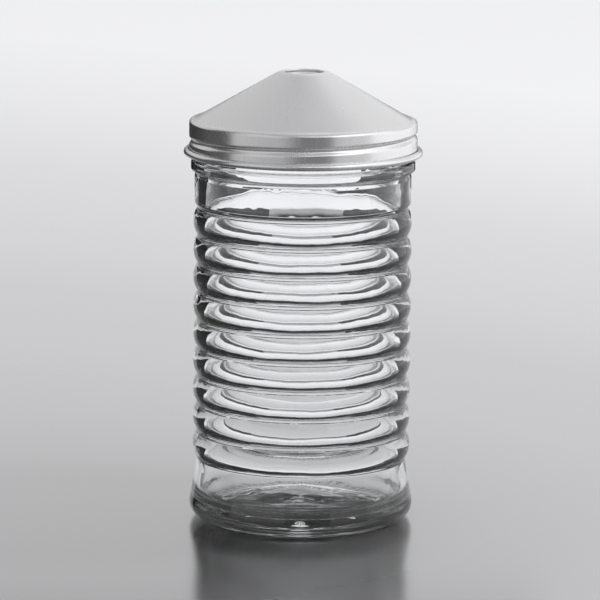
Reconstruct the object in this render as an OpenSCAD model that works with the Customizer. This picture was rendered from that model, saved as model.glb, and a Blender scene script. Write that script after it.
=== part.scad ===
// Glass sugar dispenser with a screw-on sheet-metal cone lid.
// A weighted flap hangs inside the cone and closes the pouring hole from below.
// The jar stands on z = 0 and turns about the Z axis, and the flap's pin lies along Y.

/* [Jar] */
// Outer radius of the neck, from which the body and the lid take their radii
neck_r = 34.8; // [31:0.1:39]
// How far the plain band above the ribs stands out from the neck
band_out = 0.2; // [0:0.05:0.8]
// How far the sharp bottom of a valley lies inside the plain band
valley_in = 1.1; // [0.8:0.05:1.6]
// How far the heel would stand out from the valleys if it were sharp
heel_out = 3.55; // [2:0.05:5]
// Rounding of the heel
heel_round = 5; // [3:0.1:7]
// Width of the flat ring that the jar rests on, with the heel's rounding
rest_w = 10.45; // [8:0.05:14]
// Rise of the pushed-up underside at its centre
push_up = 2.4; // [1:0.1:3.5]
// Part of that rise that is a shallow dome, as on the inner floor
floor_dome = 0.96; // [0.4:0.02:1.2]
// Width of the slope between the resting ring and the dome
push_slope = 4; // [3:0.5:6]
// Rounding between that slope and the dome
push_round = 6; // [4:0.5:8]
// Height of the flared foot, up to the lowest valley
foot_h = 19.8; // [16:0.1:24]
// Number of ribs round the body
rib_count = 9; // [5:1:11]
// Height of one rib, from valley to valley
rib_pitch = 9.165; // [7.5:0.005:11]
// How far a rib's crest stands out from the sharp valley
rib_depth = 1.5; // [0.8:0.05:2]
// Rounding in the bottom of each valley
valley_round = 1.1; // [0.4:0.05:1.2]
// Glass thickness from the sharp valley to the inner wall
wall = 2.7; // [2.2:0.1:4]
// How far the inner wall follows each rib outwards
inner_ripple = 0.5; // [0.1:0.05:0.9]
// Rounding of the inner wall between two ripples
ripple_round = 1; // [0.5:0.1:1.2]
// Height of the inner floor over the table
floor_h = 5; // [4:0.1:8]
// Rounding between the inner floor and the inner wall
floor_round = 5; // [3:0.5:8]
// Rounding between the flat of the inner floor and its dome
floor_ease = 8; // [4:0.5:12]
// Height of the plain band above the ribs
band_h = 10.8; // [8:0.1:14]
// Height of the slope from the highest valley out to the band
band_start = 1.6; // [1:0.1:3]
// Rounding of the edges of the band
edge_round = 0.7; // [0.4:0.1:1]

/* [Neck] */
// How far the bead under the lid stands out from the neck
bead_out = 1.4; // [0.8:0.05:1.9]
// Height of the bead
bead_h = 3.2; // [2.4:0.1:4]
// Rounding of the bead's upper edge
bead_round = 1; // [0.5:0.1:1.2]
// Height of the groove between the band and the bead
groove_h = 1.5; // [1:0.1:2.5]
// Depth of that groove
groove_depth = 0.4; // [0.2:0.05:0.8]
// Height of the neck, from the bead to the rim
neck_h = 11.4; // [10.6:0.1:14]
// Glass thickness of the neck
neck_wall = 3.6; // [2.6:0.1:4.4]
// Rounding of the rim's two edges
rim_round = 1.1; // [0.5:0.1:1.4]

/* [Screw thread] */
// Rise of the thread in one turn
thread_pitch = 4.23; // [4:0.01:4.6]
// How far the glass thread stands out from the neck
glass_thread = 1.15; // [0.9:0.05:1.2]
// Half the width of the glass thread where it meets the neck
glass_thread_half = 1.05; // [0.8:0.05:1.15]
// Length of the glass thread in turns
glass_thread_turns = 1.25; // [0.8:0.05:1.4]
// Height of plain neck between the rim's rounding and the upper end of the glass thread
rim_to_thread = 0.1; // [0.1:0.1:1]
// Depth of the thread rolled into the lid's skirt
rolled_depth = 0.7; // [0.5:0.05:0.8]
// Half the width of the rolled thread at the skirt's surface
rolled_half = 1.2; // [0.9:0.05:1.3]
// Length of the rolled thread in turns
rolled_turns = 1.5; // [1:0.05:1.6]
// Depth below the rim of the rolled thread, at the front
rolled_drop = 4.2; // [4:0.1:5]
// Gap between the glass thread and the inside of the skirt
thread_gap = 0.4; // [0.3:0.05:0.6]
// Part of a turn in which each end of a thread fades out
run_out = 0.12; // [0.05:0.01:0.2]

/* [Lid] */
// Thickness of the lid's sheet metal
sheet = 0.45; // [0.35:0.05:0.6]
// Slope of the cone, in degrees
cone_angle = 29.9; // [26:0.1:33]
// Radius at which the cone's slope meets its flat top
apex_r = 8.1; // [7.6:0.1:9.5]
// Rounding between the cone and its top
apex_round = 4; // [2:0.1:5]
// Radius of the pouring hole
hole_r = 6.5; // [5.5:0.1:6.8]
// How far the foot of the cone lies inside the skirt
foot_inset = 1.85; // [1.6:0.05:2.5]
// Rounding in the hollow at the foot of the cone
foot_round = 2.5; // [1:0.1:3]
// Rounding of the shoulder over the skirt
shoulder_round = 1.1; // [0.8:0.1:1.2]
// Outer radius of the rolled edge's section
curl_r = 1.1; // [0.9:0.05:1.3]
// Gap between the rolled edge and the bead of the jar
curl_gap = 1.3; // [0.8:0.1:2]

/* [Liner] */
// Thickness of the ring liner over the rim
liner_t = 0.7; // [0.6:0.05:1.2]
// How far the liner reaches inside the rim's inner edge
liner_lap = 0.4; // [0:0.1:1]
// Gap that is left between the liner and the sheet metal
liner_gap = 0.3; // [0.25:0.05:0.4]

/* [Flap] */
// Radius of the flap's disc
disc_r = 7.4; // [7:0.1:7.6]
// Thickness of the flap's sheet metal
flap_sheet = 0.4; // [0.3:0.05:0.5]
// Gap between the closed disc and the underside of the hole
disc_gap = 0.35; // [0.3:0.05:0.6]
// Radius of the dished middle of the disc
dish_r = 4.6; // [3:0.1:5]
// Depth of the dished middle of the disc
dish_depth = 0.5; // [0.2:0.05:0.8]
// Width of the lever that joins the disc to its weight
lever_w = 6; // [4:0.5:7]
// Distance of the flap's pin from the middle of the hole
pivot_x = 11; // [10.5:0.1:12]
// Depth of the flap's pin below the underside of the hole
pivot_drop = 5.85; // [5.5:0.05:6.5]
// Distance from the pin to the middle of the weight
tail_l = 12; // [10:0.5:13]
// Angle of the tail below the horizontal when the hole is closed
tail_angle = 75; // [72:1:80]
// Radius of the round bar that weights the tail
weight_r = 2.6; // [2.2:0.1:2.8]
// Length of the bar
weight_l = 18; // [14:0.5:19]

/* [Hinge] */
// Radius of the hinge pin
pin_r = 0.8; // [0.6:0.05:0.9]
// Running clearance between the pin and the flap's knuckle
pin_clearance = 0.05; // [0.03:0.01:0.1]
// Wall of the rolled knuckle
knuckle_wall = 0.5; // [0.45:0.05:0.6]
// Half the length of the knuckle along the pin
knuckle_half = 4.6; // [3.5:0.1:5]
// Gap between the knuckle and each ear of the bracket
ear_gap = 0.5; // [0.3:0.1:0.8]
// Thickness of the bracket's sheet metal
bracket_sheet = 0.6; // [0.5:0.05:0.7]
// Radius of the rounded end of each ear
ear_r = 1.9; // [1.7:0.1:2]
// Angle at which an ear's sides leave its rounded end
ear_lean = 20; // [0:5:30]
// Radius of the heads of the pin
pin_head_r = 1.35; // [1.1:0.05:1.6]
// Thickness of the heads of the pin
pin_head_t = 0.6; // [0.4:0.1:0.8]
// Width of the flange that is welded under the cone
flange_w = 15; // [13:0.5:17]
// Distance from the lid's axis at which the flange starts
flange_from = 9.8; // [9.6:0.1:10]
// Distance from the lid's axis at which the flange ends
flange_to = 16.5; // [16:0.1:18]

/* [Hidden] */
$fn = 96;

// Steps in a fillet, in one rib and in one turn of a thread
fillet_steps = 4;
rib_steps = 8;
turn_steps = 48;
// How far a wound form's root lies past the surface that it meets, so that no flat of it falls short
root_in = 0.1;
// Further reach of a wound form past its root
bite = 0.2;
// Gap between pieces that lie against each other
weld_gap = 0.03;
// Part of the thread's spare height that is left under the glass thread
thread_seat = 0.35;

// Radii of the jar
band_r = neck_r + band_out;
valley_r = band_r - valley_in;
inner_r = valley_r - wall;
heel_r = valley_r + heel_out;
rest_r = heel_r - rest_w;
bead_r = neck_r + bead_out;
mouth_r = neck_r - neck_wall;
// The inner wall follows the flare of the foot down to the floor
floor_r = inner_r + heel_out * (1 - floor_h / foot_h);

// Heights up the jar
ribs_top = foot_h + rib_count * rib_pitch;
bead_low = ribs_top + band_h + groove_h;
bead_high = bead_low + bead_h;
rim_z = bead_high + neck_h;

// The lid takes its size from the neck and from the thread on it
skirt_r = neck_r + glass_thread + thread_gap + sheet;
foot_r = skirt_r - foot_inset;
land_z = rim_z + liner_t + liner_gap + sheet;
top_z = land_z + (foot_r - apex_r) * tan(cone_angle);
curl_z = bead_high + curl_gap + curl_r;
rolled_z = rim_z - rolled_drop;
glass_thread_z = rolled_z + thread_pitch / 2 - thread_seat / 2;
glass_thread_top = rim_z - rim_round - rim_to_thread - glass_thread_half - bite;
glass_thread_last = (glass_thread_top - glass_thread_z) / thread_pitch;
glass_thread_first = glass_thread_last - glass_thread_turns;

// The hinge and the flap take their places from the underside of the cone
under_z = top_z - sheet;
pivot = [pivot_x, under_z - pivot_drop];
disc_z = under_z - disc_gap - flap_sheet / 2;
weight_at = pivot + tail_l * [cos(tail_angle), -sin(tail_angle)];
knuckle_r = pin_r + pin_clearance + knuckle_wall;
lever_r = knuckle_r - knuckle_wall / 2;
loop_r = weight_r + weld_gap + flap_sheet;
bend_x = disc_r - 1;
ear_y = knuckle_half + ear_gap;

function unit(v) = v / norm(v);
function reversed(list) = [for (i = [len(list) - 1 : -1 : 0]) list[i]];

// Points of a fillet of radius r in the corner b, between the legs towards a and c
function fillet(a, b, c, r) =
    let (
        u = unit(a - b),
        v = unit(c - b),
        half = acos(max(-1, min(1, u * v))) / 2,
        centre = b + unit(u + v) * r / sin(half),
        from = b + u * r / tan(half) - centre,
        to = b + v * r / tan(half) - centre,
        turn = atan2(from.x * to.y - from.y * to.x, from * to)
    )
    half > 89.9 ? [b] : [for (k = [0 : fillet_steps])
        let (t = atan2(from.y, from.x) + turn * k / fillet_steps)
        centre + r * [cos(t), sin(t)]];

// An open outline through corners [x, y, rounding], with a fillet at each rounded corner
function rounded(corners) =
    let (last = len(corners) - 1, p = [for (c = corners) [c.x, c.y]])
    [for (i = [0 : last])
        each (i == 0 || i == last || corners[i][2] == 0
            ? [p[i]]
            : fillet(p[i - 1], p[i], p[i + 1], corners[i][2]))];

// The same open outline moved sideways by d, to the right of its direction
function beside(path, d) =
    let (last = len(path) - 1)
    [for (i = [0 : last])
        let (
            before = unit(path[max(i, 1)] - path[max(i, 1) - 1]),
            after = unit(path[min(i, last - 1) + 1] - path[min(i, last - 1)]),
            along = unit(before + after)
        )
        path[i] + d / (along * before) * [along.y, -along.x]];

// Corners up one side of the ribs, from the lowest valley to the highest
function ribs(r, depth, rounding) =
    let (
        half = rib_pitch / 2,
        bulge = (half * half + depth * depth) / (2 * depth),
        lean = asin(half / bulge)
    )
    [for (rib = [0 : rib_count], k = [0 : rib < rib_count ? rib_steps - 1 : 0])
        let (
            t = lean * (2 * k / rib_steps - 1),
            z = foot_h + rib * rib_pitch
        )
        k == 0
            ? [r, z, rounding]
            : [r + depth - bulge * (1 - cos(t)), z + half + bulge * sin(t), 0]];

// A ridge wound round the Z axis from one turn to another, with height z at the front, where turn is 0.
// section lists [share of the ridge's height, distance along Z from its middle].
module wound_ridge(r_root, r_crest, section, first, last, z) {
    steps = ceil((last - first) * turn_steps);
    sides = len(section);
    points = [for (i = [0 : steps], s = section)
        let (
            turn = first + (last - first) * i / steps,
            end = min(1, (turn - first) / run_out, (last - turn) / run_out),
            fade = end * end * (3 - 2 * end),
            share = s.x > 0 ? s.x * fade - 0.15 * (1 - fade) : s.x,
            r = r_root + (r_crest - r_root) * share
        )
        [r * cos(360 * turn - 90), r * sin(360 * turn - 90), z + turn * thread_pitch + s.y]];
    // a section listed upwards winds one way on an outward ridge, and the other way on an inward one
    outward = r_crest > r_root;
    quads = [for (i = [0 : steps - 1], k = [0 : sides - 1])
        let (
            a = i * sides + k,
            b = i * sides + (k + 1) % sides,
            c = b + sides,
            d = a + sides
        )
        each [[a, b, c], [a, c, d]]];
    ends = [for (k = [1 : sides - 2])
        each [[0, k + 1, k], [steps * sides, steps * sides + k, steps * sides + k + 1]]];
    faces = concat(quads, ends);
    polyhedron(points, outward ? faces : [for (f = faces) reversed(f)]);
}

// Height of the cone's underside at a distance r from the axis
function under_cone(r) = land_z + (foot_r - r) * tan(cone_angle) - sheet / cos(cone_angle);

// Outer line of the lid's sheet, from the pouring hole to the end of the rolled edge
function lid_line() =
    let (
        curl_in = curl_r - sheet,
        curl = [for (t = [180 : 29 : 470]) [skirt_r + curl_in + curl_in * cos(t), curl_z + curl_in * sin(t)]]
    )
    concat(
        rounded([
            [hole_r, top_z, 0],
            [apex_r, top_z, apex_round],
            [foot_r, land_z, foot_round],
            [skirt_r, land_z, shoulder_round],
            [skirt_r, curl_z, 0]
        ]),
        [for (i = [1 : len(curl) - 1]) curl[i]]
    );

// Pressed glass jar: pushed-up base, flared foot, ribbed body, bead, threaded neck and rounded rim
module glass_jar() {
    outline = rounded(concat(
        [
            [0, push_up, 0],
            [rest_r - push_slope, push_up - floor_dome, push_round],
            [rest_r, 0, 0],
            [heel_r, 0, heel_round]
        ],
        ribs(valley_r, rib_depth, valley_round),
        [
            [band_r, ribs_top + band_start, edge_round],
            [band_r, bead_low - groove_h - edge_round, edge_round],
            [band_r - groove_depth, bead_low - edge_round, edge_round],
            [bead_r, bead_low, edge_round],
            [bead_r, bead_high - bead_h / 8, bead_round],
            [neck_r, bead_high, edge_round / 2],
            [neck_r, rim_z, rim_round],
            [mouth_r, rim_z, rim_round],
            [mouth_r, bead_low, neck_wall],
            [inner_r, ribs_top + band_h / 3, neck_wall]
        ],
        reversed(ribs(inner_r, inner_ripple, ripple_round)),
        [[floor_r, floor_h, floor_round], [inner_r / 2, floor_h, floor_ease], [0, floor_h + floor_dome, 0]]
    ));
    glass_section = [
        [-0.3, -glass_thread_half - bite],
        [0, -glass_thread_half],
        [0.6, -glass_thread_half * 0.75],
        [1, -glass_thread_half * 0.35],
        [1, glass_thread_half * 0.35],
        [0.6, glass_thread_half * 0.75],
        [0, glass_thread_half],
        [-0.3, glass_thread_half + bite]
    ];
    color("lightcyan", 0.4) union() {
        rotate_extrude() polygon(outline);
        wound_ridge(
            neck_r - root_in / 2,
            neck_r + glass_thread,
            glass_section,
            glass_thread_first,
            glass_thread_last,
            glass_thread_z
        );
    }
}

// Lid stamped from one sheet: cone, shoulder, skirt with a rolled thread, and rolled edge
module lid_shell() {
    line = lid_line();
    rolled_section = [
        [-bite / rolled_depth, -rolled_half - 0.1],
        [0, -rolled_half],
        [0.55, -rolled_half * 0.65],
        [1, -rolled_half * 0.25],
        [1, rolled_half * 0.25],
        [0.55, rolled_half * 0.65],
        [0, rolled_half],
        [-bite / rolled_depth, rolled_half + 0.1]
    ];
    inner_skirt = skirt_r - sheet;
    half = rolled_turns / 2;
    color("silver") difference() {
        union() {
            rotate_extrude() polygon(concat(line, reversed(beside(line, sheet))));
            wound_ridge(inner_skirt + root_in, inner_skirt - rolled_depth, rolled_section, -half, half, rolled_z);
        }
        wound_ridge(skirt_r + root_in, skirt_r - rolled_depth, rolled_section, -half, half, rolled_z);
    }
}

// Soft ring between the glass rim and the foot of the cone
module lid_liner() {
    in_r = mouth_r + rim_round - liner_lap;
    out_r = skirt_r - shoulder_round - liner_gap;
    lift = liner_gap / cos(cone_angle);
    seat_z = rim_z + weld_gap;
    color("white") rotate_extrude() polygon([
        [in_r, seat_z],
        [out_r, seat_z],
        [out_r, min(rim_z + liner_t, under_cone(out_r) - lift)],
        [foot_r - foot_round, under_cone(foot_r - foot_round) - lift],
        [in_r, under_cone(in_r) - lift]
    ]);
}

// Height at which an ear of the bracket ends inside the flange, at a distance x from the axis
function ear_top(x) = under_cone(norm([x, ear_y + bracket_sheet])) - weld_gap - bracket_sheet / 2 / cos(cone_angle);

// Stamped bracket, spot-welded under the cone, with two ears that hold the pin
module hinge_bracket() {
    slope = [cos(cone_angle), -sin(cone_angle)];
    start = [flange_from, under_cone(flange_from) - weld_gap];
    end = start + slope * (flange_to - flange_from) / cos(cone_angle);
    ear_from = flange_from + bracket_sheet;
    ear_to = flange_to - 3 * bracket_sheet;
    aside = ear_r * [cos(ear_lean), -sin(ear_lean)];
    color("gainsboro") union() {
        intersection() {
            rotate_extrude() polygon([
                start,
                end,
                end - [0, bracket_sheet / cos(cone_angle)],
                start - [0, bracket_sheet / cos(cone_angle)]
            ]);
            translate([0, -flange_w / 2, pivot.y]) cube([flange_to, flange_w, top_z]);
        }
        for (side = [-1, 1]) {
            translate([0, side * (ear_y + bracket_sheet / 2) + bracket_sheet / 2, 0])
                rotate([90, 0, 0]) linear_extrude(bracket_sheet) difference() {
                    union() {
                        translate(pivot) circle(ear_r);
                        polygon([
                            [ear_from, ear_top(ear_from)],
                            [ear_to, ear_top(ear_to)],
                            pivot + aside,
                            pivot + [-aside.x, aside.y]
                        ]);
                    }
                    translate(pivot) circle(pin_r + weld_gap);
                }
        }
    }
}

// Pin through both ears, with a head formed at each end
module hinge_pin() {
    reach = ear_y + bracket_sheet + weld_gap;
    color("lightgray") translate([pivot.x, 0, pivot.y]) rotate([90, 0, 0]) union() {
        cylinder(r = pin_r, h = 2 * reach + pin_head_t, center = true);
        for (turn = [0, 180]) {
            rotate([turn, 0, 0]) translate([0, 0, reach])
                cylinder(r1 = pin_head_r, r2 = pin_head_r - pin_head_t / 2, h = pin_head_t);
        }
    }
}

// One straight length of the lever, seen along the pin: it runs from the circle round p to the one round q
module strip(p, p_r, q, q_r) {
    heading = atan2(q.y - p.y, q.x - p.x) - asin((q_r - p_r) / norm(q - p));
    aside = [sin(heading), -cos(heading)];
    half = flap_sheet / 2 * aside;
    a = p + p_r * aside;
    b = q + q_r * aside;
    rotate([90, 0, 0]) linear_extrude(lever_w, center = true) polygon([a - half, b - half, b + half, a + half]);
}

// Stamped flap: dished disc, lever, knuckle rolled round the pin, and loop round the weight
module flap() {
    shoulder = flap_sheet * 0.9;
    disc_line = rounded([
        [0, disc_z - dish_depth, 0],
        [dish_r - dish_depth, disc_z - dish_depth, shoulder],
        [dish_r, disc_z, shoulder],
        [disc_r, disc_z, 0]
    ]);
    color("silver") difference() {
        union() {
            rotate_extrude()
                polygon(concat(beside(disc_line, flap_sheet / 2), reversed(beside(disc_line, -flap_sheet / 2))));
            translate([dish_r + 0.4, -lever_w / 2, disc_z - flap_sheet / 2])
                cube([bend_x + 0.15 - dish_r - 0.4, lever_w, flap_sheet]);
            strip([bend_x, disc_z], 0, pivot, -lever_r);
            translate([pivot.x, 0, pivot.y]) rotate([90, 0, 0])
                cylinder(r = knuckle_r, h = 2 * knuckle_half, center = true);
            strip(pivot, -lever_r, weight_at, -(loop_r - flap_sheet / 2));
            translate([weight_at.x, 0, weight_at.y]) rotate([90, 0, 0])
                cylinder(r = loop_r, h = lever_w, center = true);
        }
        translate([pivot.x, 0, pivot.y]) rotate([90, 0, 0])
            cylinder(r = pin_r + pin_clearance, h = 2 * knuckle_half + 1, center = true);
        translate([weight_at.x, 0, weight_at.y]) rotate([90, 0, 0])
            cylinder(r = weight_r + weld_gap, h = lever_w + 1, center = true);
    }
}

// Round bar held in the loop at the end of the lever
module flap_weight() {
    chamfer = 0.5;
    color("darkgray") translate([weight_at.x, 0, weight_at.y]) rotate([90, 0, 0]) rotate_extrude() polygon([
        [0, -weight_l / 2],
        [weight_r - chamfer, -weight_l / 2],
        [weight_r, -weight_l / 2 + chamfer],
        [weight_r, weight_l / 2 - chamfer],
        [weight_r - chamfer, weight_l / 2],
        [0, weight_l / 2]
    ]);
}

glass_jar();
lid_shell();
lid_liner();
hinge_bracket();
hinge_pin();
flap();
flap_weight();
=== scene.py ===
# Glass sugar dispenser with a screw-on sheet-metal cone lid and a weighted flap under its pouring hole.
import math

import bpy
import numpy as np
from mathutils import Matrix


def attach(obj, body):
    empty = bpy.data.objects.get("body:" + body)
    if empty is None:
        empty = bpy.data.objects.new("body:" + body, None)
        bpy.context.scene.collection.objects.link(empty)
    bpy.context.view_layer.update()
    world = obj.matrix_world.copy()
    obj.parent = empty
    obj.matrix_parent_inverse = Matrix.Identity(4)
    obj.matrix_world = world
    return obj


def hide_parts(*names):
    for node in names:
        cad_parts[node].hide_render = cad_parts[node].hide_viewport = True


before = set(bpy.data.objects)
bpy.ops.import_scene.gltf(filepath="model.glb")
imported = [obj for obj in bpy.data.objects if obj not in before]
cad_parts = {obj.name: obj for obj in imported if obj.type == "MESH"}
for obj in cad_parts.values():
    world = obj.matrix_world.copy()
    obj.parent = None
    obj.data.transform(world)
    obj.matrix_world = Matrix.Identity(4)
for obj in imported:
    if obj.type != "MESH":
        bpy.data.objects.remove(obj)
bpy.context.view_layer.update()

# The studio
# A seamless table of smooth grey laminate, under wide overhead soft light. Its colour is painted: painted
# shade near the jar, and painted light that pales it with distance and to the right.
# The camera stands 1.2 metres in front and 0.3 metres up, and looks 10 degrees down.
CAMERA_PLACE = (-0.00067, -1.22, 0.2931)
CAMERA_DOWN = 10.3
CAMERA_TURN = 0.45
FILM_WIDTH_MM = 36
FOCAL_LENGTH_MM = 229
SEES_AS_FAR_AS = 60
TABLE_RADIUS = 14
# Pairs of a distance along the table in metres and a tone, as the table looks when seen directly: painted
# shade, dark close round the jar, and painted light, paler further out.
TABLE_TONES_WITH_PAINTED_SHADE = (
    (0.034, 0.045), (0.05, 0.10), (0.11, 0.16), (0.22, 0.22), (0.34, 0.235), (0.46, 0.31), (0.68, 0.39),
    (0.95, 0.58), (1.25, 0.73),
)
# Painted light: the tones reach further out as X grows, so the table is painted paler to the right.
PAINTED_LIGHT_TO_THE_RIGHT = 0.8
BLUER = 1.02
# The same through the glass, where the table glows as painted light: a painted lit white sheet behind the
# jar, with painted shade under it, and dark far away.
PAINTED_SHEET_GLOW_TONES = ((0.045, 0.04), (0.065, 0.52), (0.15, 0.67), (0.3, 0.93), (1.0, 0.97), (1.8, 0.4))
PAINTED_SHEET_GLOW_CENTRE = (0, -0.03, 0)

scene = bpy.context.scene
scene.view_settings.view_transform = "Standard"
scene.cycles.use_denoising = True
scene.cycles.max_bounces = 32
scene.cycles.transmission_bounces = 28
scene.cycles.glossy_bounces = 12
scene.cycles.diffuse_bounces = 4
scene.cycles.transparent_max_bounces = 16

camera_data = bpy.data.cameras.new("camera")
camera_data.sensor_width = FILM_WIDTH_MM
camera_data.lens = FOCAL_LENGTH_MM
camera_data.clip_end = SEES_AS_FAR_AS
camera = bpy.data.objects.new("camera", camera_data)
scene.collection.objects.link(camera)
camera.location = CAMERA_PLACE
camera.rotation_mode = "ZXY"
camera.rotation_euler = (math.radians(90 - CAMERA_DOWN), 0, math.radians(CAMERA_TURN))
scene.camera = camera

table_mesh = bpy.data.meshes.new("table")
rim = [
    (TABLE_RADIUS * math.cos(math.radians(a)), TABLE_RADIUS * math.sin(math.radians(a)), 0)
    for a in range(0, 360, 6)
]
table_mesh.from_pydata(rim, [], [range(len(rim))])
table = bpy.data.objects.new("table", table_mesh)
scene.collection.objects.link(table)

laminate = bpy.data.materials.new("table laminate")
laminate.use_nodes = True
nodes, links = laminate.node_tree.nodes, laminate.node_tree.links
shader = nodes["Principled BSDF"]
place = nodes.new("ShaderNodeTexCoord")


def reach_tones(centre, pairs, lean):
    """Tones by the distance from a centre on the table, which starts further out as X grows."""
    distance = nodes.new("ShaderNodeVectorMath")
    distance.operation = "DISTANCE"
    distance.inputs[1].default_value = centre
    links.new(place.outputs["Object"], distance.inputs[0])
    split = nodes.new("ShaderNodeSeparateXYZ")
    links.new(place.outputs["Object"], split.inputs[0])
    reach = nodes.new("ShaderNodeMath")
    reach.operation = "MULTIPLY_ADD"
    reach.inputs[1].default_value = lean
    links.new(split.outputs["X"], reach.inputs[0])
    links.new(distance.outputs["Value"], reach.inputs[2])
    tones = nodes.new("ShaderNodeValToRGB")
    steps = tones.color_ramp.elements
    while len(steps) < len(pairs):
        steps.new(0.5)
    farthest = pairs[-1][0]
    for step, (far, tone) in zip(steps, pairs):
        step.position = far / farthest
        step.color = (tone, tone, tone * BLUER, 1)
    share = nodes.new("ShaderNodeMath")
    share.operation = "DIVIDE"
    share.inputs[1].default_value = farthest
    links.new(reach.outputs["Value"], share.inputs[0])
    links.new(share.outputs["Value"], tones.inputs["Fac"])
    return tones.outputs["Color"]


ray = nodes.new("ShaderNodeLightPath")
seen = nodes.new("ShaderNodeMix")
seen.data_type = "RGBA"
seen.inputs["B"].default_value = (0, 0, 0, 1)
links.new(ray.outputs["Is Transmission Ray"], seen.inputs["Factor"])
# The table's colour seen directly: painted shade near the jar, and painted light further out and to the
# right.
links.new(reach_tones((0, 0, 0), TABLE_TONES_WITH_PAINTED_SHADE, PAINTED_LIGHT_TO_THE_RIGHT), seen.inputs["A"])
links.new(seen.outputs["Result"], shader.inputs["Base Color"])
# Painted light: rays through the glass see the table glow, as a painted white sheet with painted shade
# under the jar.
links.new(reach_tones(PAINTED_SHEET_GLOW_CENTRE, PAINTED_SHEET_GLOW_TONES, 0), shader.inputs["Emission Color"])
links.new(ray.outputs["Is Transmission Ray"], shader.inputs["Emission Strength"])
sheen = nodes.new("ShaderNodeMapRange")
sheen.inputs["To Min"].default_value = 0.5
sheen.inputs["To Max"].default_value = 0
links.new(ray.outputs["Is Transmission Ray"], sheen.inputs["Value"])
links.new(sheen.outputs["Result"], shader.inputs["Specular IOR Level"])
shader.inputs["Roughness"].default_value = 0.18
shader.inputs["IOR"].default_value = 2.2
table_mesh.materials.append(laminate)

# The room is a soft dome: white behind the jar, and grey overhead and to the sides.
# Through the glass it is dark behind the white table, with a white box overhead.
world = bpy.data.worlds.new("studio")
scene.world = world
world.use_nodes = True
nodes, links = world.node_tree.nodes, world.node_tree.links
direction = nodes.new("ShaderNodeTexCoord")


def glow(axis, fade_from, fade_to, low, high):
    """Light that goes from low to high as the view direction turns towards an axis."""
    length = math.sqrt(sum(c * c for c in axis))
    facing = nodes.new("ShaderNodeVectorMath")
    facing.operation = "DOT_PRODUCT"
    links.new(direction.outputs["Generated"], facing.inputs[0])
    facing.inputs[1].default_value = [c / length for c in axis]
    fade = nodes.new("ShaderNodeMapRange")
    fade.interpolation_type = "SMOOTHSTEP"
    for name, value in zip(("From Min", "From Max", "To Min", "To Max"), (fade_from, fade_to, low, high)):
        fade.inputs[name].default_value = value
    links.new(facing.outputs["Value"], fade.inputs["Value"])
    return fade.outputs["Result"]


def combine(operation, a, b):
    """Two light values added or multiplied."""
    both = nodes.new("ShaderNodeMath")
    both.operation = operation
    links.new(a, both.inputs[0])
    links.new(b, both.inputs[1])
    return both.outputs["Value"]


# Each has an axis, the two cosines between which it fades, and its strength at both.
behind = glow((0, 1, 0.12), 0.47, 0.95, 0.34, 1.17)
above_horizon = glow((0, 0, 1), 0.14, 0.27, 1, 1.17)
overhead_right = glow((0.25, 0.25, 1), 0.5, 0.94, 0, 0.15)
right = glow((1, -0.1, 0.35), 0.5, 0.94, 0, 0.25)
dome = combine("MULTIPLY", behind, above_horizon)
dome = combine("ADD", dome, overhead_right)
dome = combine("ADD", dome, right)
dark_wall = glow((0, 0, 1), 0.0, 0.12, 0.4, 0.03)
white_box = glow((0.15, 0, 1), 0.38, 0.47, 0, 1.0)
far_half = glow((0, 1, 0), -0.1, 0.3, 0.05, 1)
through = combine("MULTIPLY", combine("ADD", dark_wall, white_box), far_half)
ray = nodes.new("ShaderNodeLightPath")
seen = nodes.new("ShaderNodeMix")
links.new(ray.outputs["Is Transmission Ray"], seen.inputs["Factor"])
links.new(dome, seen.inputs["A"])
links.new(through, seen.inputs["B"])
links.new(seen.outputs["Result"], nodes["Background"].inputs["Strength"])
nodes["Background"].inputs["Color"].default_value = (0.985, 0.985, 1, 1)


def card(name, corner, along, height, tone, seen_by, lift=0):
    """An upright card from corner to corner + along, lifted off the table. Only some rays see it."""
    x, y = corner
    far_x, far_y = x + along[0], y + along[1]
    top = lift + height
    mesh = bpy.data.meshes.new(name)
    corners = [(x, y, lift), (far_x, far_y, lift), (far_x, far_y, top), (x, y, top)]
    mesh.from_pydata(corners, [], [(0, 1, 2, 3)])
    paint = bpy.data.materials.new(name)
    paint.use_nodes = True
    face = paint.node_tree.nodes["Principled BSDF"]
    face.inputs["Base Color"].default_value = (0, 0, 0, 1)
    face.inputs["Specular IOR Level"].default_value = 0
    face.inputs["Emission Color"].default_value = (tone, tone, tone, 1)
    face.inputs["Emission Strength"].default_value = 1
    mesh.materials.append(paint)
    board = bpy.data.objects.new(name, mesh)
    scene.collection.objects.link(board)
    board.visible_camera = board.visible_shadow = board.visible_diffuse = False
    board.visible_glossy = seen_by == "metal"
    board.visible_transmission = seen_by == "glass"


# Each has its first corner, the way to the other one, its height, tone, who sees it, and its lift.
card("left flag", (-0.105, 0.06), (0.02, 1.38), 0.9, 0.02, "glass")
card("right flag", (0.105, 0.06), (-0.02, 1.38), 0.9, 0.02, "glass")
card("left reflector", (-0.55, -1.9), (0, 1.75), 1.0, 0.66, "metal")
card("left dark card", (-0.55, -0.15), (0.1, 0.8), 0.5, 0.08, "metal")
card("front dark card", (-0.08, -0.6), (0.42, 0), 0.3, 0.17, "metal")
card("front box", (-0.05, -1.0), (0.55, 0), 0.6, 1.2, "metal", 0.35)
card("right front reflector", (0.55, -1.0), (0, 0.8), 1.0, 0.72, "metal")
card("right front box", (0.54, -1.0), (0, 0.85), 0.7, 1.6, "metal", 0.3)
card("right reflector", (0.55, -0.2), (0, 0.85), 1.0, 1.15, "metal")
card("low back card", (-0.5, 0.15), (0.59, 0), 0.065, 0.03, "metal", 0.085)
card("left back card", (-0.5, 0.15), (0.5, 0), 0.31, 0.64, "metal", 0.15)
card("right back card", (0, 0.15), (0.5, 0), 0.31, 0.85, "metal", 0.15)


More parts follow.
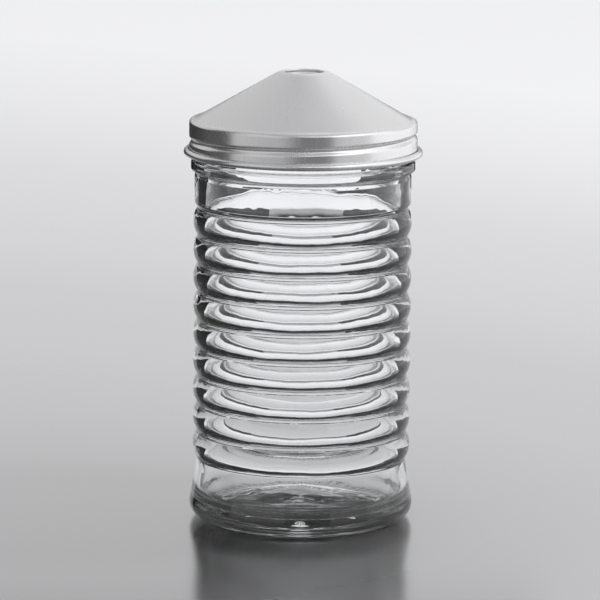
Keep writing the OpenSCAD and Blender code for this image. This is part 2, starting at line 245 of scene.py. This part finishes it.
def soft_box(name, place, aim, width, height, power):
    """A rectangular softbox at place that faces aim."""
    lamp = bpy.data.lights.new(name, "AREA")
    lamp.shape = "RECTANGLE"
    lamp.size, lamp.size_y = width, height
    lamp.energy = power
    box = bpy.data.objects.new(name, lamp)
    scene.collection.objects.link(box)
    box.location = place
    facing = [a - p for a, p in zip(aim, place)]
    flat = math.hypot(facing[0], facing[1])
    box.rotation_euler = (math.atan2(flat, -facing[2]), 0, math.atan2(facing[1], facing[0]) - math.pi / 2)
    return box


overhead = soft_box("overhead box", place=(0.7, 0.5, 1.4), aim=(0, 0.1, 0), width=1.2, height=1.2, power=9)
overhead.visible_glossy = False
overhead.visible_transmission = False

# The glass jar
# A soda-glass jar, pressed and blown in a mould, with a pushed-up base, a flared foot and nine ribs.
# Above a plain band it has a bead, and a neck with one raised thread that the lid screws onto.
MM = 0.001
CLOSE = 0.05
NECK_R = 34.8
BAND_OUT = 0.2
VALLEY_IN = 1.1
WALL = 2.7
NECK_WALL = 3.6
HEEL_OUT = 3.55
HEEL_ROUND = 5
REST_W = 10.45
REST_ROUND = 0.6
PUSH_UP = 2.4
PUSH_SLOPE = 4
PUSH_ROUND = 6
FLOOR_H = 5
FLOOR_DOME = 0.96
FLOOR_ROUND = 5
FLOOR_EASE = 8
FOOT_H = 19.8
RIB_COUNT = 9
RIB_PITCH = 9.165
RIB_DEPTH = 1.5
VALLEY_ROUND = 1.1
RIPPLE = 0.05
RIPPLE_ROUND = 1
BAND_H = 10.8
BAND_START = 1.6
EDGE_ROUND = 0.7
GROOVE_H = 1.5
GROOVE_DEPTH = 0.4
BEAD_OUT = 1.4
BEAD_H = 3.2
BEAD_ROUND = 1
NECK_H = 11.4
NECK_TAPER = 3
RIM_ROUND = 1.1
THREAD_PITCH = 4.23
THREAD_DROP = 4.2
THREAD_SEAT = 0.35
GLASS_THREAD = 1.15
GLASS_THREAD_HALF = 1.05
GLASS_THREAD_TURNS = 1.25
RIM_TO_THREAD = 0.1
THREAD_BITE = 0.2
RUN_OUT = 0.12
# Slow waves of the inner wall: depth, waves round the jar, shift per mm of height, and start.
WAVES = ((0.06, 3, 0.11, 0), (0.05, 5, -0.23, 1.3), (0.02, 11, 0.37, 0.4))
WAVES_FROM = 8
WAVES_FADE = 4
BARS = 60
BAR_DEPTH = 0.45
BARS_IN = 0.4
BARS_TO_R = 32.2
BARS_FADE = 0.8
FILLET_STEPS = 8
RIB_STEPS = 20
JAR_SEGMENTS = 240
JAR_LONGEST_STEP = 0.8

BAND_R = NECK_R + BAND_OUT
VALLEY_R = BAND_R - VALLEY_IN
INNER_R = VALLEY_R - WALL
HEEL_R = VALLEY_R + HEEL_OUT
REST_R = HEEL_R - REST_W
BEAD_R = NECK_R + BEAD_OUT
MOUTH_R = NECK_R - NECK_WALL
FLOOR_R = INNER_R + HEEL_OUT * (1 - FLOOR_H / FOOT_H)
RIBS_TOP = FOOT_H + RIB_COUNT * RIB_PITCH
BEAD_LOW = RIBS_TOP + BAND_H + GROOVE_H
BEAD_HIGH = BEAD_LOW + BEAD_H
RIM_Z = BEAD_HIGH + NECK_H
THREAD_AT = RIM_Z - THREAD_DROP
GLASS_THREAD_AT = THREAD_AT + THREAD_PITCH / 2 - THREAD_SEAT / 2
GLASS_THREAD_TOP = RIM_Z - RIM_ROUND - RIM_TO_THREAD - GLASS_THREAD_HALF - THREAD_BITE
GLASS_THREAD_LAST = (GLASS_THREAD_TOP - GLASS_THREAD_AT) / THREAD_PITCH
GLASS_THREAD_FIRST = GLASS_THREAD_LAST - GLASS_THREAD_TURNS


def fillet(before, corner, after, radius):
    """Points of an arc that rounds a corner of an outline."""
    b = np.array(corner)
    u, v = np.array(before) - b, np.array(after) - b
    u, v = u / np.linalg.norm(u), v / np.linalg.norm(v)
    half = math.acos(max(-1, min(1, float(u @ v)))) / 2
    if half > math.radians(89.9):
        return [tuple(b)]
    centre = b + (u + v) / np.linalg.norm(u + v) * radius / math.sin(half)
    start = b + u * radius / math.tan(half) - centre
    end = b + v * radius / math.tan(half) - centre
    turn = math.atan2(start[0] * end[1] - start[1] * end[0], float(start @ end))
    first = math.atan2(start[1], start[0])
    return [
        (centre[0] + radius * math.cos(first + turn * k / FILLET_STEPS),
         centre[1] + radius * math.sin(first + turn * k / FILLET_STEPS))
        for k in range(FILLET_STEPS + 1)
    ]


def rounded(corners):
    """An open outline through corners (r, z, rounding)."""
    points = [corners[0][:2]]
    for before, corner, after in zip(corners, corners[1:], corners[2:]):
        points += fillet(before[:2], corner[:2], after[:2], corner[2]) if corner[2] else [corner[:2]]
    return points + [corners[-1][:2]]


def ribs(r, depth, rounding):
    """Corners up the ribs, from the lowest valley to the highest."""
    half = RIB_PITCH / 2
    bulge = (half**2 + depth**2) / (2 * depth)
    lean = math.asin(half / bulge)
    corners = []
    for rib in range(RIB_COUNT):
        z = FOOT_H + rib * RIB_PITCH
        corners.append((r, z, rounding))
        for k in range(1, RIB_STEPS):
            t = lean * (2 * k / RIB_STEPS - 1)
            corners.append((r + depth - bulge * (1 - math.cos(t)), z + half + bulge * math.sin(t), 0))
    return corners + [(r, RIBS_TOP, rounding)]


def even(points, longest):
    """The same outline with its long straights cut into short pieces."""
    out = [points[0]]
    for (r0, z0), (r1, z1) in zip(points, points[1:]):
        pieces = max(1, math.ceil(math.hypot(r1 - r0, z1 - z0) / longest))
        out += [(r0 + (r1 - r0) * k / pieces, z0 + (z1 - z0) * k / pieces) for k in range(1, pieces + 1)]
    return out


def thread_height(angle, z, middle, half, first, last):
    """How much of a thread, from 0 to 1, stands at an angle and height. The front is turn 0."""
    front = (angle / (2 * math.pi) + 0.25) % 1
    best = np.zeros_like(z)
    for lap in (-3, -2, -1, 0, 1):
        turn = front + lap
        end = np.clip(np.minimum(turn - first, last - turn) / RUN_OUT, 0, 1)
        fade = end * end * (3 - 2 * end)
        off = np.clip(np.abs(z - middle - turn * THREAD_PITCH) / half, 0, 1)
        best = np.maximum(best, fade * (1 - off**2) ** 1.3)
    return best


def turned(name, outline, segments, shift=None, closed=False):
    """A mesh turned round the Z axis from an outline (r, z) in mm. shift changes radius and height."""
    r, z = np.array(outline).T
    angle = np.linspace(0, 2 * math.pi, segments, endpoint=False)
    r, z, angle = r[:, None] + 0 * angle, z[:, None] + 0 * angle, angle + 0 * r[:, None]
    if shift:
        out, up = shift(r, z, angle)
        r, z = r + out, z + up
    grid = np.stack([r * np.cos(angle), r * np.sin(angle), z], axis=-1) * MM
    rows = len(outline)
    index = np.arange(rows * segments).reshape(rows, segments)
    on_axis = [k for k in (0, rows - 1) if outline[k][0] == 0]
    for k in on_axis:
        index[k] = index[k, 0]
    faces = []
    for k in range(rows if closed else rows - 1):
        a, b = index[k], index[(k + 1) % rows]
        for i in range(segments):
            j = (i + 1) % segments
            face = [a[i], a[j], b[j], b[i]]
            faces.append(list(dict.fromkeys(int(v) for v in face)))
    used = np.unique(index)
    renumber = {int(v): n for n, v in enumerate(used)}
    mesh = bpy.data.meshes.new(name)
    mesh.from_pydata(
        [tuple(p) for p in grid.reshape(-1, 3)[used]], [], [[renumber[v] for v in f] for f in faces]
    )
    mesh.shade_smooth()
    piece = bpy.data.objects.new(name, mesh)
    scene.collection.objects.link(piece)
    return piece


jar_outline = rounded(
    [
        (0, PUSH_UP, 0),
        (REST_R - PUSH_SLOPE, PUSH_UP - FLOOR_DOME, PUSH_ROUND),
        (REST_R, 0, REST_ROUND),
        (HEEL_R, 0, HEEL_ROUND),
    ]
    + ribs(VALLEY_R, RIB_DEPTH, VALLEY_ROUND)
    + [
        (BAND_R, RIBS_TOP + BAND_START, EDGE_ROUND),
        (BAND_R, BEAD_LOW - GROOVE_H - EDGE_ROUND, EDGE_ROUND),
        (BAND_R - GROOVE_DEPTH, BEAD_LOW - EDGE_ROUND, EDGE_ROUND),
        (BEAD_R, BEAD_LOW, EDGE_ROUND),
        (BEAD_R, BEAD_HIGH - BEAD_H / 8, BEAD_ROUND),
        (NECK_R, BEAD_HIGH, EDGE_ROUND / 2),
        (NECK_R, RIM_Z, RIM_ROUND),
        (MOUTH_R, RIM_Z, RIM_ROUND),
        (INNER_R, RIBS_TOP + NECK_TAPER, 0),
    ]
    + ribs(INNER_R, RIPPLE, RIPPLE_ROUND)[::-1]
    + [
        (FLOOR_R, FLOOR_H, FLOOR_ROUND),
        (INNER_R / 2, FLOOR_H, FLOOR_EASE),
        (0, FLOOR_H + FLOOR_DOME, 0),
    ]
)


def pressed_glass(r, z, angle):
    """The raised thread, the slight unevenness of the inner wall and the bars under the resting ring."""
    outside = (r > NECK_R - CLOSE) & (z > BEAD_HIGH)
    thread = GLASS_THREAD * thread_height(
        angle, z, GLASS_THREAD_AT, GLASS_THREAD_HALF, GLASS_THREAD_FIRST, GLASS_THREAD_LAST
    )
    above_floor = np.clip((z - FLOOR_H - WAVES_FROM) / WAVES_FADE, 0, 1)
    inside = (r < VALLEY_R - WALL / 2) * above_floor * (z < BEAD_LOW)
    wave = sum(deep * np.sin(count * angle + shift * z + start) for deep, count, shift, start in WAVES)
    # The bars are of uneven depth, as pressed by the knurled bottom plate of the mould.
    ring = np.clip(np.minimum(r - REST_R - BARS_IN, BARS_TO_R - r) / BARS_FADE, 0, 1) * (z < CLOSE)
    uneven = 0.75 + 0.25 * np.sin(7 * angle + 0.8) * np.sin(11 * angle)
    bars = BAR_DEPTH * ring * uneven * (0.5 - 0.5 * np.cos(BARS * angle))
    return np.where(outside, thread, 0) + inside * wave, bars


jar = turned("jar_glass", even(jar_outline, JAR_LONGEST_STEP), JAR_SEGMENTS, pressed_glass)
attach(jar, "jar")
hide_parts("glass_jar")

glass = bpy.data.materials.new("pressed soda glass")
glass.use_nodes = True
nodes, links = glass.node_tree.nodes, glass.node_tree.links
shader = nodes["Principled BSDF"]
shader.inputs["Base Color"].default_value = (0.975, 0.985, 0.985, 1)
shader.inputs["Transmission Weight"].default_value = 1
shader.inputs["IOR"].default_value = 1.5
place = nodes.new("ShaderNodeTexCoord")
skin = nodes.new("ShaderNodeTexNoise")
skin.inputs["Scale"].default_value = 90
skin.inputs["Detail"].default_value = 2
links.new(place.outputs["Object"], skin.inputs["Vector"])
ripple = nodes.new("ShaderNodeBump")
ripple.inputs["Strength"].default_value = 0.25
ripple.inputs["Distance"].default_value = 0.0006
links.new(skin.outputs["Fac"], ripple.inputs["Height"])
links.new(ripple.outputs["Normal"], shader.inputs["Normal"])
haze = nodes.new("ShaderNodeMapRange")
haze.inputs["To Min"].default_value = 0.0
haze.inputs["To Max"].default_value = 0.03
links.new(skin.outputs["Fac"], haze.inputs["Value"])
# The resting ring is dulled where it has been set down.
height = nodes.new("ShaderNodeSeparateXYZ")
links.new(place.outputs["Object"], height.inputs[0])
worn = nodes.new("ShaderNodeMapRange")
worn.inputs["From Min"].default_value = 0.0001
worn.inputs["From Max"].default_value = 0.0006
worn.inputs["To Min"].default_value = 0.3
worn.inputs["To Max"].default_value = 0
links.new(height.outputs["Z"], worn.inputs["Value"])
dull = nodes.new("ShaderNodeMath")
dull.operation = "MAXIMUM"
links.new(haze.outputs["Result"], dull.inputs[0])
links.new(worn.outputs["Result"], dull.inputs[1])
links.new(dull.outputs["Value"], shader.inputs["Roughness"])
jar.data.materials.append(glass)

# The lid
# A cone drawn from one disc of 0.45 mm sheet, with a flat top round the pouring hole.
# Its skirt has a thread rolled inwards and ends in a curl, and the sheet's grain runs straight across.
SHEET = 0.45
CONE_ANGLE = math.radians(29.9)
HOLE_R = 6.5
APEX_R = 8.1
APEX_ROUND = 4
FOOT_INSET = 1.85
FOOT_ROUND = 2.5
SHOULDER_ROUND = 1.1
THREAD_GAP = 0.4
LINER_T = 0.7
LINER_GAP = 0.3
CURL_R = 1.1
CURL_GAP = 1.3
CURL_END_DEG = 470
CURL_STEP_DEG = 10
ROLLED_DEPTH = 0.7
ROLLED_HALF = 1.2
ROLLED_TURNS = 1.5
SHOULDER_FADE = 1.5
LID_SEGMENTS = 192
LID_LONGEST_STEP = 0.35

SKIRT_R = NECK_R + GLASS_THREAD + THREAD_GAP + SHEET
CONE_FOOT_R = SKIRT_R - FOOT_INSET
LAND_Z = RIM_Z + LINER_T + LINER_GAP + SHEET
TOP_Z = LAND_Z + (CONE_FOOT_R - APEX_R) * math.tan(CONE_ANGLE)
CURL_Z = BEAD_HIGH + CURL_GAP + CURL_R

curl_in = CURL_R - SHEET
lid_line = rounded(
    [
        (HOLE_R, TOP_Z, 0),
        (APEX_R, TOP_Z, APEX_ROUND),
        (CONE_FOOT_R, LAND_Z, FOOT_ROUND),
        (SKIRT_R, LAND_Z, SHOULDER_ROUND),
        (SKIRT_R, CURL_Z, 0),
    ]
) + [
    (SKIRT_R + curl_in + curl_in * math.cos(math.radians(a)), CURL_Z + curl_in * math.sin(math.radians(a)))
    for a in range(180 + CURL_STEP_DEG, CURL_END_DEG + CURL_STEP_DEG, CURL_STEP_DEG)
]
lid_line = even(lid_line, LID_LONGEST_STEP)


def beside(points, distance):
    """The same outline moved sideways, to the right of its direction."""
    p = np.array(points)
    step = np.diff(p, axis=0)
    step /= np.linalg.norm(step, axis=1)[:, None]
    before, after = np.vstack([step[:1], step]), np.vstack([step, step[-1:]])
    along = before + after
    along /= np.linalg.norm(along, axis=1)[:, None]
    lean = (along * before).sum(axis=1)[:, None]
    return [tuple(q) for q in p + distance / lean * np.stack([along[:, 1], -along[:, 0]], axis=1)]


def rolled_thread(r, z, angle):
    """The thread that is rolled into the skirt, on both faces of the sheet."""
    skirt = (r > SKIRT_R - SHEET - CLOSE) & (r < SKIRT_R + CLOSE) & (z > CURL_Z)
    depth = ROLLED_DEPTH * thread_height(
        angle, z, THREAD_AT, ROLLED_HALF, -ROLLED_TURNS / 2, ROLLED_TURNS / 2
    )
    return -np.where(skirt, depth, 0), 0


lid_section = lid_line + beside(lid_line, SHEET)[::-1]
lid = turned("lid_sheet", lid_section, LID_SEGMENTS, rolled_thread, closed=True)
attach(lid, "lid")
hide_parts("lid_shell")

# Where each point of the lid lay in the flat sheet, in metres, so that the grain runs as it was rolled.
steps = np.linalg.norm(np.diff(np.array(lid_line), axis=0), axis=1)
run = (HOLE_R + np.concatenate([[0], np.cumsum(steps)])) * MM
run = np.concatenate([run, run[::-1]])
corner_of = np.empty(len(lid.data.loops), dtype=int)
lid.data.loops.foreach_get("vertex_index", corner_of)
row, column = corner_of // LID_SEGMENTS, corner_of % LID_SEGMENTS
turn = column * 2 * math.pi / LID_SEGMENTS
blank = lid.data.uv_layers.new(name="blank")
blank.data.foreach_set("uv", np.stack([run[row] * np.cos(turn), run[row] * np.sin(turn)], axis=1).ravel())


def new_group(name, sockets):
    """An empty shader node group with sockets (in or out, name, type, default)."""
    group = bpy.data.node_groups.new(name, "ShaderNodeTree")
    for side, label, kind, default in sockets:
        socket = group.interface.new_socket(label, in_out=side, socket_type="NodeSocket" + kind)
        if default is not None:
            socket.default_value = default
    return group, group.nodes.new("NodeGroupInput"), group.nodes.new("NodeGroupOutput")


# Fine lines along the Y of Place, and slow clouds of handling over them.
DRAWN_OUT = 0.025
grain, entry, leave = new_group("sheet grain", [
    ("INPUT", "Place", "Vector", None),
    ("INPUT", "Lines per metre", "Float", 1500),
    ("INPUT", "Clouds per metre", "Float", 70),
    ("OUTPUT", "Lines", "Float", None),
    ("OUTPUT", "Clouds", "Float", None),
])
drawn = grain.nodes.new("ShaderNodeVectorMath")
drawn.operation = "MULTIPLY"
drawn.inputs[1].default_value = (1, DRAWN_OUT, 1)
grain.links.new(entry.outputs["Place"], drawn.inputs[0])
fine = grain.nodes.new("ShaderNodeTexNoise")
fine.inputs["Detail"].default_value = 4
fine.inputs["Roughness"].default_value = 0.65
grain.links.new(drawn.outputs["Vector"], fine.inputs["Vector"])
grain.links.new(entry.outputs["Lines per metre"], fine.inputs["Scale"])
grain.links.new(fine.outputs["Fac"], leave.inputs["Lines"])
cloud = grain.nodes.new("ShaderNodeTexNoise")
cloud.inputs["Detail"].default_value = 3
grain.links.new(entry.outputs["Place"], cloud.inputs["Vector"])
grain.links.new(entry.outputs["Clouds per metre"], cloud.inputs["Scale"])
grain.links.new(cloud.outputs["Fac"], leave.inputs["Clouds"])


def steel(name, dark, light, smooth, rough, place, turned_by=0, lines=1500, depth=0.000004):
    """A bare sheet or bar metal whose tone and gloss vary along its grain. place is UV or Object."""
    metal = bpy.data.materials.new(name)
    metal.use_nodes = True
    tree = metal.node_tree
    face = tree.nodes["Principled BSDF"]
    face.inputs["Metallic"].default_value = 1
    where = tree.nodes.new("ShaderNodeTexCoord")
    turn = tree.nodes.new("ShaderNodeMapping")
    turn.inputs["Rotation"].default_value = (0, 0, math.radians(turned_by))
    tree.links.new(where.outputs[place], turn.inputs["Vector"])
    surface = tree.nodes.new("ShaderNodeGroup")
    surface.node_tree = grain
    surface.inputs["Lines per metre"].default_value = lines
    tree.links.new(turn.outputs["Vector"], surface.inputs["Place"])
    tone = tree.nodes.new("ShaderNodeMix")
    tone.data_type = "RGBA"
    tone.inputs["A"].default_value = dark
    tone.inputs["B"].default_value = light
    tree.links.new(surface.outputs["Lines"], tone.inputs["Factor"])
    tree.links.new(tone.outputs["Result"], face.inputs["Base Color"])
    gloss = tree.nodes.new("ShaderNodeMath")
    gloss.operation = "MULTIPLY"
    tree.links.new(surface.outputs["Lines"], gloss.inputs[0])
    tree.links.new(surface.outputs["Clouds"], gloss.inputs[1])
    spread = tree.nodes.new("ShaderNodeMapRange")
    spread.inputs["From Min"].default_value = 0.1
    spread.inputs["From Max"].default_value = 0.4
    spread.inputs["To Min"].default_value = smooth
    spread.inputs["To Max"].default_value = rough
    tree.links.new(gloss.outputs["Value"], spread.inputs["Value"])
    tree.links.new(spread.outputs["Result"], face.inputs["Roughness"])
    scratch = tree.nodes.new("ShaderNodeBump")
    scratch.inputs["Strength"].default_value = 0.6
    scratch.inputs["Distance"].default_value = depth
    tree.links.new(surface.outputs["Lines"], scratch.inputs["Height"])
    tree.links.new(scratch.outputs["Normal"], face.inputs["Normal"])
    return metal


satin = steel(
    "drawn satin sheet", dark=(0.76, 0.76, 0.77, 1), light=(0.82, 0.82, 0.83, 1),
    smooth=0.25, rough=0.36, place="UV", lines=2200, depth=0.000002,
)
# Rolling has made the skirt brighter than the cone.
nodes, links = satin.node_tree.nodes, satin.node_tree.links
shader = nodes["Principled BSDF"]
place = nodes.new("ShaderNodeTexCoord")
height = nodes.new("ShaderNodeSeparateXYZ")
links.new(place.outputs["Object"], height.inputs[0])
rolled = nodes.new("ShaderNodeMapRange")
rolled.inputs["From Min"].default_value = (LAND_Z - SHOULDER_FADE) * MM
rolled.inputs["From Max"].default_value = (LAND_Z + SHOULDER_FADE) * MM
rolled.inputs["To Min"].default_value = 0.85
rolled.inputs["To Max"].default_value = 1
links.new(height.outputs["Z"], rolled.inputs["Value"])
brighter = nodes.new("ShaderNodeMath")
brighter.operation = "MULTIPLY"
links.new(shader.inputs["Roughness"].links[0].from_socket, brighter.inputs[0])
links.new(rolled.outputs["Result"], brighter.inputs[1])
links.new(brighter.outputs["Value"], shader.inputs["Roughness"])
lid.data.materials.append(satin)

# The ring liner
# A soft white ring, die-cut from foamed sheet, which lies between the rim of the glass and the cone.
# It is pressed smooth, with the small open cells of the foam still showing.
foam = bpy.data.materials.new("foamed liner sheet")
foam.use_nodes = True
nodes, links = foam.node_tree.nodes, foam.node_tree.links
shader = nodes["Principled BSDF"]
place = nodes.new("ShaderNodeTexCoord")
cells = nodes.new("ShaderNodeTexVoronoi")
cells.inputs["Scale"].default_value = 1800
links.new(place.outputs["Object"], cells.inputs["Vector"])
stain = nodes.new("ShaderNodeTexNoise")
stain.inputs["Scale"].default_value = 120
links.new(place.outputs["Object"], stain.inputs["Vector"])
tone = nodes.new("ShaderNodeMix")
tone.data_type = "RGBA"
tone.inputs["A"].default_value = (0.80, 0.80, 0.76, 1)
tone.inputs["B"].default_value = (0.92, 0.92, 0.90, 1)
links.new(stain.outputs["Fac"], tone.inputs["Factor"])
links.new(tone.outputs["Result"], shader.inputs["Base Color"])
shader.inputs["Roughness"].default_value = 0.65
pits = nodes.new("ShaderNodeBump")
pits.inputs["Strength"].default_value = 0.5
pits.inputs["Distance"].default_value = 0.00005
links.new(cells.outputs["Distance"], pits.inputs["Height"])
links.new(pits.outputs["Normal"], shader.inputs["Normal"])


def dress(node, material):
    """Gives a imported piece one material."""
    piece = bpy.data.objects[node]
    piece.data.materials.clear()
    piece.data.materials.append(material)


dress("lid_liner", foam)

# The hinge bracket
# Stamped from 0.6 mm sheet in mill finish, with two ears turned down, and spot-welded under the cone.
# Two blued spots on the flange show where the electrodes pressed.
WELD_PLACE = (0.0145, 0.0025, 0.1405)
WELD_R = 0.0009
mill = steel(
    "mill-finish strip", dark=(0.60, 0.60, 0.61, 1), light=(0.76, 0.76, 0.77, 1),
    smooth=0.28, rough=0.5, place="Object", turned_by=90, lines=1100,
)
nodes, links = mill.node_tree.nodes, mill.node_tree.links
shader = nodes["Principled BSDF"]
place = nodes.new("ShaderNodeTexCoord")
mirrored = nodes.new("ShaderNodeVectorMath")
mirrored.operation = "ABSOLUTE"
links.new(place.outputs["Object"], mirrored.inputs[0])
weld = nodes.new("ShaderNodeVectorMath")
weld.operation = "DISTANCE"
weld.inputs[1].default_value = WELD_PLACE
links.new(mirrored.outputs["Vector"], weld.inputs[0])
blue = nodes.new("ShaderNodeMapRange")
blue.inputs["From Min"].default_value = WELD_R
blue.inputs["From Max"].default_value = 2 * WELD_R
blue.inputs["To Min"].default_value = 0.7
blue.inputs["To Max"].default_value = 0
links.new(weld.outputs["Value"], blue.inputs["Value"])
tint = nodes.new("ShaderNodeMix")
tint.data_type = "RGBA"
tint.inputs["B"].default_value = (0.22, 0.25, 0.36, 1)
links.new(blue.outputs["Result"], tint.inputs["Factor"])
links.new(shader.inputs["Base Color"].links[0].from_socket, tint.inputs["A"])
links.new(tint.outputs["Result"], shader.inputs["Base Color"])
dress("hinge_bracket", mill)

# The hinge pin
# A 1.6 mm wire pin through both ears, with a head formed at each end.
# The turning of the flap has polished fine rings round it.
wire = steel(
    "polished wire", dark=(0.64, 0.64, 0.65, 1), light=(0.80, 0.80, 0.81, 1),
    smooth=0.14, rough=0.3, place="Object", turned_by=90, lines=4000,
)
dress("hinge_pin", wire)

# The flap
# Stamped from 0.4 mm sheet: a dished disc, a lever, a knuckle rolled round the pin and a loop.
# Tumbling after stamping leaves it dull, with its grain faint along the lever. Its colour is painted pale,
# as painted light for the light that reaches it through the glass.
# Painted light: the flap's colour is painted paler than the other sheet metal, standing in for light
# through the glass.
flap_painted_pale = steel(
    "flap sheet painted pale", dark=(0.84, 0.84, 0.85, 1), light=(0.94, 0.94, 0.95, 1),
    smooth=0.42, rough=0.56, place="Object", turned_by=90, lines=1800,
)
dress("flap", flap_painted_pale)

# The flap's weight
# A length of 5.2 mm drawn steel bar with chamfered ends, held in the loop of the flap.
# Drawing has left straight lines along it.
bar = steel(
    "drawn bar", dark=(0.58, 0.58, 0.59, 1), light=(0.76, 0.76, 0.77, 1),
    smooth=0.2, rough=0.42, place="Object", lines=2500, depth=0.00001,
)
dress("flap_weight", bar)
